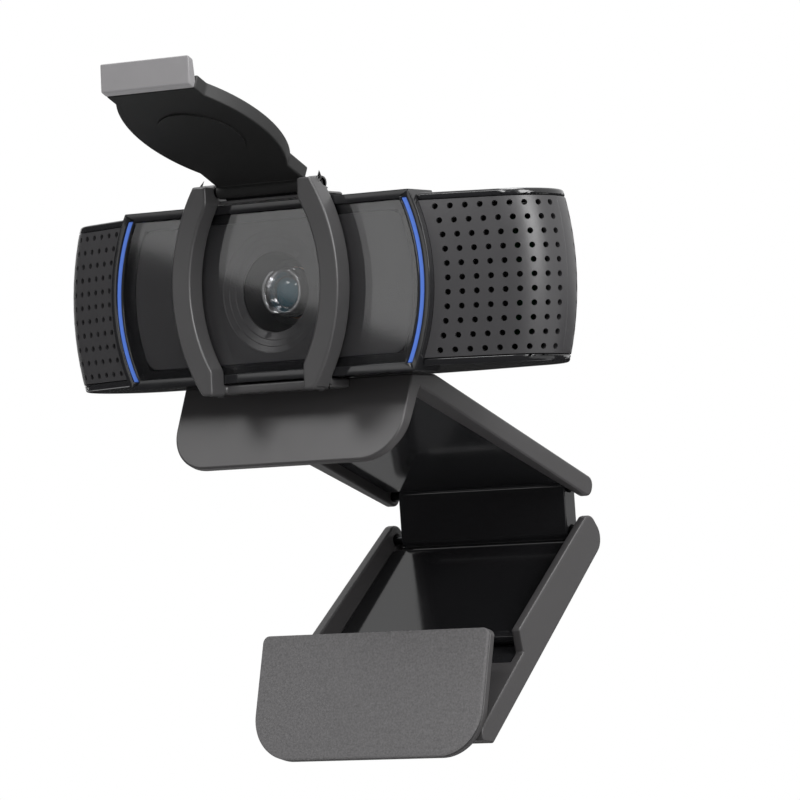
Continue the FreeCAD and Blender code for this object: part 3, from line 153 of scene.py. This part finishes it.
card("dark_front", (0.0, -2.4, 0.0), (0.0, 0.0, 0.0), 6.0, 3.6, 0.02)
card("dark_left", (-2.6, -0.4, 0.0), (0.0, 0.0, 0.0), 4.0, 3.0, 0.05)
card("dark_low", (0.0, -0.6, -1.6), (0.0, 0.0, 0.0), 6.0, 4.0, 0.03)
card("dark_back", (0.0, 2.6, -1.52), (0.0, 0.0, -1.52), 7.0, 3.0, 0.02)
card("pale_low", (-0.867, 0.80, -0.69), (0.0, 0.0, 0.0), 0.34, 0.34, 0.35)
card("pale_left", (-0.650, -0.9, 0.116), (-0.650, 0.0, 0.116), 0.5, 0.10, 1.5, -19.3)

floor_mesh = bpy.data.meshes.new("floor")
bm = bmesh.new()
bmesh.ops.create_grid(bm, x_segments=1, y_segments=1, size=6.0)
bmesh.ops.translate(bm, vec=(0, 0, -0.35), verts=bm.verts)
bm.to_mesh(floor_mesh)
bm.free()
floor = bpy.data.objects.new("floor", floor_mesh)
bpy.context.scene.collection.objects.link(floor)
floor_paint = bpy.data.materials.new("floor_paint")
floor_paint.use_nodes = True
floor_paint.node_tree.nodes["Principled BSDF"].inputs["Base Color"].default_value = (0.9, 0.9, 0.9, 1)
floor_paint.node_tree.nodes["Principled BSDF"].inputs["Roughness"].default_value = 0.9
floor_mesh.materials.append(floor_paint)
floor.visible_camera = False
floor.visible_glossy = False

# ---- making and finishing ------------------------------------------------------
# Copies of the moulded parts with rounded edges, and the plastics they are in.

body_of_node = {}
for body_name, members in frame["record"]["behaviour"]["bodies"].items():
    for member in members:
        body_of_node[member] = body_name


def eased(node, width, segments=2, pierced=False):
    """A copy of a moulded part with its sharp edges eased by a small round.

    A pierced part keeps its own faces.
    """
    source = frame["nodes"][node]
    bm = bmesh.new()
    bm.from_mesh(source.data)
    bmesh.ops.remove_doubles(bm, verts=bm.verts, dist=2e-6)
    if not pierced:
        bmesh.ops.dissolve_limit(bm, angle_limit=math.radians(0.4), verts=bm.verts, edges=bm.edges,
                                 use_dissolve_boundaries=False)
    for face in bm.faces:
        face.smooth = True
    mesh = bpy.data.meshes.new(node + "_eased")
    bm.to_mesh(mesh)
    bm.free()
    item = bpy.data.objects.new(node + "_eased", mesh)
    bpy.context.scene.collection.objects.link(item)
    rounder = item.modifiers.new("rounds", "BEVEL")
    rounder.width = width
    rounder.segments = segments
    rounder.limit_method = "ANGLE"
    rounder.angle_limit = math.radians(30.0)
    rounder.use_clamp_overlap = False
    evened = item.modifiers.new("flat_faces", "WEIGHTED_NORMAL")
    evened.mode = "FACE_AREA"
    evened.weight = 100
    evened.keep_sharp = False
    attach(item, body_of_node[node])
    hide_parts(node)
    return item


def plastic(name, colour, rough, grain=0.0, pitch=9000.0, coat=0.0, mottle=0.06, cloud_pitch=260.0):
    """Moulded plastic with a fine texture, a faint mottle and uneven gloss."""
    paint = bpy.data.materials.new(name)
    paint.use_nodes = True
    tree = paint.node_tree
    shader = tree.nodes["Principled BSDF"]
    shader.inputs["Coat Weight"].default_value = coat
    shader.inputs["Coat Roughness"].default_value = 0.06
    where = tree.nodes.new("ShaderNodeTexCoord")
    cloud = tree.nodes.new("ShaderNodeTexNoise")
    cloud.inputs["Scale"].default_value = cloud_pitch
    cloud.inputs["Detail"].default_value = 6.0
    tree.links.new(where.outputs["Object"], cloud.inputs["Vector"])
    tint = tree.nodes.new("ShaderNodeMapRange")
    tint.inputs["To Min"].default_value = 1.0 - mottle
    tint.inputs["To Max"].default_value = 1.0 + mottle
    tree.links.new(cloud.outputs["Fac"], tint.inputs["Value"])
    shade = tree.nodes.new("ShaderNodeVectorMath")
    shade.operation = "SCALE"
    shade.inputs[0].default_value = colour[:3]
    tree.links.new(tint.outputs["Result"], shade.inputs["Scale"])
    tree.links.new(shade.outputs["Vector"], shader.inputs["Base Color"])
    gloss = tree.nodes.new("ShaderNodeMapRange")
    gloss.inputs["To Min"].default_value = max(rough - 0.04, 0.02)
    gloss.inputs["To Max"].default_value = rough + 0.04
    tree.links.new(cloud.outputs["Fac"], gloss.inputs["Value"])
    tree.links.new(gloss.outputs["Result"], shader.inputs["Roughness"])
    if grain:
        pebble = tree.nodes.new("ShaderNodeTexNoise")
        pebble.inputs["Scale"].default_value = pitch
        pebble.inputs["Detail"].default_value = 2.0
        tree.links.new(where.outputs["Object"], pebble.inputs["Vector"])
        bump = tree.nodes.new("ShaderNodeBump")
        bump.inputs["Strength"].default_value = 1.0
        bump.inputs["Distance"].default_value = grain
        tree.links.new(pebble.outputs["Fac"], bump.inputs["Height"])
        tree.links.new(bump.outputs["Normal"], shader.inputs["Normal"])
    return paint


def dress(item, paint):
    item.data.materials.clear()
    item.data.materials.append(paint)
    return item


# ---- centre bezel ------------------------------------------------------------
# The polished black frame round the window, with its top and bottom bars
# proud of the ends.  Moulded in one piece, edges eased.

gloss_black = plastic("gloss_black", (0.012, 0.012, 0.013), 0.10)
dress(eased("front_bezel", 0.15 * mm, 2, pierced=True), gloss_black)

# ---- window ------------------------------------------------------------------
# A flat smoked acrylic lens over the camera, black printed round its edge.

smoke = bpy.data.materials.new("smoked_acrylic")
smoke.use_nodes = True
smoke_tree = smoke.node_tree
glass = smoke_tree.nodes["Principled BSDF"]
glass.inputs["Base Color"].default_value = (0.008, 0.008, 0.009, 1)
glass.inputs["IOR"].default_value = 2.3
glass.inputs["Alpha"].default_value = 0.26
smear = smoke_tree.nodes.new("ShaderNodeTexNoise")
smear.inputs["Scale"].default_value = 90.0
smear_where = smoke_tree.nodes.new("ShaderNodeTexCoord")
smear_level = smoke_tree.nodes.new("ShaderNodeMapRange")
smear_level.inputs["To Min"].default_value = 0.02
smear_level.inputs["To Max"].default_value = 0.06
smoke_tree.links.new(smear_where.outputs["Object"], smear.inputs["Vector"])
smoke_tree.links.new(smear.outputs["Fac"], smear_level.inputs["Value"])
smoke_tree.links.new(smear_level.outputs["Result"], glass.inputs["Roughness"])
dress(eased("window", 0.10 * mm), smoke)
dress(frame["nodes"]["window_border"], gloss_black)

# ---- light strips ------------------------------------------------------------
# Two curved blue light guides at the ends of the window, with a soft glow.

guide_blue = plastic("guide_blue", (0.060, 0.140, 0.480), 0.25, mottle=0.03)
guide_blue.node_tree.nodes["Principled BSDF"].inputs["Emission Color"].default_value = (0.05, 0.12, 0.5, 1)
guide_blue.node_tree.nodes["Principled BSDF"].inputs["Emission Strength"].default_value = 0.15
for node in ("light_strip_right", "light_strip_left"):
    dress(eased(node, 0.08 * mm), guide_blue)

# ---- inner panel and lens hood --------------------------------------------------
# The satin panel behind the window, stepped in rings down to the lens.

panel_grey = plastic("panel_grey", (0.075, 0.073, 0.076), 0.32, grain=0.000006)
recess_black = plastic("recess_black", (0.008, 0.008, 0.008), 0.45)
dress(eased("inner_panel", 0.06 * mm, 1, pierced=True), panel_grey)
dress(frame["nodes"]["lens_hood"], recess_black)


def metal(name, colour, rough, lines=1500.0):
    """Turned or rolled metal with fine uneven lines in its gloss."""
    paint = bpy.data.materials.new(name)
    paint.use_nodes = True
    tree = paint.node_tree
    shader = tree.nodes["Principled BSDF"]
    shader.inputs["Base Color"].default_value = (*colour, 1)
    shader.inputs["Metallic"].default_value = 1.0
    where = tree.nodes.new("ShaderNodeTexCoord")
    stretch = tree.nodes.new("ShaderNodeMapping")
    stretch.inputs["Scale"].default_value = (1.0, 8.0, 1.0)
    streak = tree.nodes.new("ShaderNodeTexNoise")
    streak.inputs["Scale"].default_value = lines
    level = tree.nodes.new("ShaderNodeMapRange")
    level.inputs["To Min"].default_value = rough * 0.7
    level.inputs["To Max"].default_value = rough * 1.3
    tree.links.new(where.outputs["Object"], stretch.inputs["Vector"])
    tree.links.new(stretch.outputs["Vector"], streak.inputs["Vector"])
    tree.links.new(streak.outputs["Fac"], level.inputs["Value"])
    tree.links.new(level.outputs["Result"], shader.inputs["Roughness"])
    return paint


# ---- lens ----------------------------------------------------------------------
# A bright barrel with two flats and a polished cone, and a coated front glass.

silver = metal("silver", (0.78, 0.78, 0.80), 0.18)
dress(eased("lens_barrel", 0.08 * mm, 2, pierced=True), silver)
coated = plastic("coated_glass", (0.015, 0.110, 0.160), 0.06, coat=1.0, mottle=0.3)
for node in ("front_lens", "rear_lens", "infrared_filter"):
    dress(frame["nodes"][node], coated)

# ---- perforated ends --------------------------------------------------------------
# Satin grey shells punched with rows of small round holes, over black acoustic cloth.

mesh_grey = plastic("mesh_grey", (0.040, 0.039, 0.041), 0.36, grain=0.000012)
for node in ("grille_right", "grille_left"):
    dress(frame["nodes"][node], mesh_grey)
cloth = plastic("black_cloth", (0.006, 0.006, 0.006), 0.9, grain=0.00004, pitch=6000.0)
for node in ("grille_cloth_right", "grille_cloth_left"):
    dress(frame["nodes"][node], cloth)

# ---- covers and rear shell ----------------------------------------------------------
# Polished black caps above and below, and a satin back.

for node in ("top_cover", "bottom_cover"):
    dress(eased(node, 0.35 * mm, 3), gloss_black)
shell_grey = plastic("shell_grey", (0.040, 0.039, 0.041), 0.42, grain=0.000012)
dress(eased("rear_shell", 0.12 * mm, 2, pierced=True), shell_grey)

# ---- shutter ---------------------------------------------------------------------------
# A snap-on frame with two bowed arms, and a thin lid that swings up on a pin.

arm_grey = plastic("arm_grey", (0.050, 0.049, 0.050), 0.34, grain=0.000008)
dress(eased("shutter_frame", 0.45 * mm, 3), arm_grey)
lid_black = plastic("lid_black", (0.012, 0.012, 0.012), 0.60, grain=0.00002)
dress(eased("shutter_flap", 0.28 * mm, 3), lid_black)
dress(frame["nodes"]["flap_liner"], lid_black)

# A polished ridge stands behind the lid's knuckle and closes the slit under it.
bm = bmesh.new()
bmesh.ops.create_cube(bm, size=1.0)
bmesh.ops.scale(bm, vec=(16.6 * mm, 3.8 * mm, 0.9 * mm), verts=bm.verts)
bmesh.ops.translate(bm, vec=(0.0, 2.55 * mm, 15.06 * mm), verts=bm.verts)
bmesh.ops.bevel(bm, geom=bm.edges[:], offset=0.35 * mm, segments=4, affect="EDGES", profile=0.5, material=-1)
for face in bm.faces:
    face.smooth = True
ridge_mesh = bpy.data.meshes.new("hinge_ridge")
bm.to_mesh(ridge_mesh)
bm.free()
ridge = bpy.data.objects.new("hinge_ridge", ridge_mesh)
bpy.context.scene.collection.objects.link(ridge)
dress(ridge, gloss_black)
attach(ridge, "head")
grip_grey = plastic("grip_grey", (0.21, 0.205, 0.21), 0.38, grain=0.000010)
dress(eased("flap_grip", 0.25 * mm, 3), grip_grey)

# ---- clip ------------------------------------------------------------------------------------
# A lip and tray that sit on the display, a two-pin link, a trough-shaped leg
# and a rubber-faced foot.  Satin outside, polished in the troughs.

clip_grey = plastic("clip_grey", (0.044, 0.042, 0.043), 0.42, grain=0.000010)
dress(eased("hook_shell", 0.35 * mm, 3), clip_grey)
dress(eased("leg_shell", 0.35 * mm, 3), clip_grey)
dress(eased("foot_plate", 0.3 * mm, 3), clip_grey)
for node in ("tray_liner", "leg_liner"):
    dress(frame["nodes"][node], gloss_black)
for node in ("link", "latch_bar"):
    dress(eased(node, 0.3 * mm, 3), gloss_black)
rubber = plastic("rubber", (0.105, 0.102, 0.104), 0.80, grain=0.00006, pitch=3600.0, mottle=0.55,
                 cloud_pitch=3000.0)
dress(eased("foot_pad", 0.25 * mm, 3), rubber)
dress(frame["nodes"]["lip_pad"], rubber)

# The leg's floor ends in a curved lip round the lower pin, which closes the gap
# behind the link.

joints = {joint["name"]: joint for joint in frame["joints"]}
pin_at = Vector(joints["link_lower"]["pos_m"])
bm = bmesh.new()
rim = []
for reach in (1.70 * mm, 1.86 * mm):
    for half in (-16.5 * mm, 16.5 * mm):
        rim.append(bm.verts.new((half, reach, 0.0)))
bm.faces.new((rim[0], rim[1], rim[3], rim[2]))
bmesh.ops.rotate(bm, cent=(0, 0, 0), matrix=Matrix.Rotation(math.radians(225.0), 3, "X"), verts=bm.verts)
bmesh.ops.spin(bm, geom=bm.verts[:] + bm.edges[:] + bm.faces[:], cent=(0, 0, 0), axis=(1, 0, 0),
               angle=math.radians(75.0), steps=14)
bmesh.ops.recalc_face_normals(bm, faces=bm.faces)
bmesh.ops.translate(bm, vec=pin_at, verts=bm.verts)
lip_mesh = bpy.data.meshes.new("pin_lip")
bm.to_mesh(lip_mesh)
bm.free()
pin_lip = bpy.data.objects.new("pin_lip", lip_mesh)
bpy.context.scene.collection.objects.link(pin_lip)
dress(pin_lip, gloss_black)
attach(pin_lip, "leg")

# ---- parts inside and small hardware -------------------------------------------------------------
# Boards, chips, frame, screws and pins take the finish that their slot names.

board_green = plastic("board_green", (0.012, 0.090, 0.035), 0.45, mottle=0.2)
brass = metal("brass", (0.75, 0.55, 0.25), 0.25)
copper = metal("copper", (0.80, 0.42, 0.25), 0.3)
steel = metal("steel", (0.55, 0.55, 0.56), 0.28)
soft_black = plastic("soft_black", (0.02, 0.02, 0.02), 0.8, grain=0.00002)
satin_black = plastic("satin_black", (0.02, 0.02, 0.021), 0.5, grain=0.000012)
dark_steel = metal("dark_steel", (0.05, 0.05, 0.052), 0.35)
for node in ("shutter_pin", "link_pin_upper", "link_pin_lower", "foot_pin"):
    dress(frame["nodes"][node], dark_steel)
finish_of_slot = {"board_green": board_green, "brass_insert": brass, "copper": copper, "steel": steel,
                  "silver": silver, "heat_plate": silver, "soft_rubber": soft_black,
                  "chip_black": satin_black, "satin_black": satin_black, "cloth": cloth}
already_dressed = (gloss_black, recess_black, coated, cloth, lid_black, rubber, dark_steel, mesh_grey)
for part in frame["record"]["subparts"]:
    item = frame["nodes"][part["node"]]
    painted = bool(item.data.materials) and item.data.materials[0] in already_dressed
    if not painted and part["material_slot"] in finish_of_slot:
        dress(item, finish_of_slot[part["material_slot"]])
